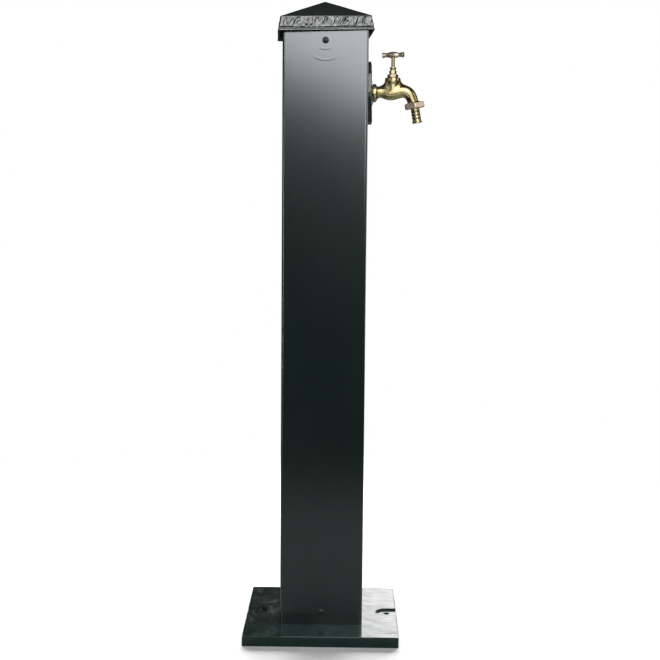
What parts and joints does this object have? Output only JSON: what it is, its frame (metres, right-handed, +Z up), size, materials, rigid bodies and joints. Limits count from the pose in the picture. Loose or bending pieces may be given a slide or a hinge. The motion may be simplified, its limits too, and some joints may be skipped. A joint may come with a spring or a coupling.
{
  "type": "garden water fountain",
  "caption": "Square steel water post on a cast base plate, with a cast pyramid cap and a brass bib tap whose tee handle turns and whose hose tail is held by a union nut.",
  "frame": {"origin": "On the post's axis, at the level of the ground under the base plate, which is the centre of the two anchor holes", "axes": "+Z up along the post; +X from the post to the tap; -Y is the side that the picture shows"},
  "size_m": [0.2751, 0.2426, 0.9893],
  "materials": {
    "post_paint": "satin dark green paint",
    "cast_paint": "glossy near-black green paint over a rough casting",
    "screw_black": "black",
    "galvanised": "galvanised",
    "brass": "polished casting",
    "fibre": "red fibre",
    "rubber": "matte"
  },
  "bodies": {
    "fountain": {"base_plate": "cast_paint", "post_tube": "post_paint", "top_cap": "cast_paint", "base_screws": "screw_black", "cap_screws": "screw_black", "backplate": "cast_paint", "backplate_screws": "screw_black", "backplate_nuts": "galvanised", "tap_extension": "brass", "extension_locknut": "brass", "pipe_elbow": "galvanised", "riser_pipe": "galvanised", "inlet_socket": "galvanised", "tap_body": "brass", "bonnet": "brass", "bonnet_gasket": "fibre", "gland_packing": "fibre", "gland_nut": "brass"},
    "valve": {"jumper_valve": "brass", "valve_washer": "rubber", "valve_nut": "brass"},
    "stem": {"spindle": "brass", "tee_handle": "brass"},
    "tail": {"hose_tail": "brass", "hose_washer": "rubber"},
    "nut": {"union_nut": "brass"}
  },
  "joints": [
    {"name": "valve_lift", "type": "slide", "parent": "fountain", "child": "valve", "axis": [0, 0, 1], "range_m": [0, 0.005]},
    {"name": "handle_turn", "type": "hinge", "parent": "valve", "child": "stem", "pos_m": [0.104, 0, 0.8515], "axis": [0, 0, 1], "range_deg": [0, 720]},
    {"name": "tail_release", "type": "slide", "parent": "fountain", "child": "tail", "axis": [0.1736, 0, -0.9848], "range_m": [0, 0.00363]},
    {"name": "union_nut_turn", "type": "hinge", "parent": "tail", "child": "nut", "pos_m": [0.1392, 0, 0.8286], "axis": [0.1736, 0, -0.9848], "range_deg": [0, 720]}
  ],
  "couplings": [
    {"joint": "handle_turn", "follows": "valve_lift", "rad_per_m": 2513.3},
    {"joint": "union_nut_turn", "follows": "tail_release", "rad_per_m": 3463.7}
  ]
}
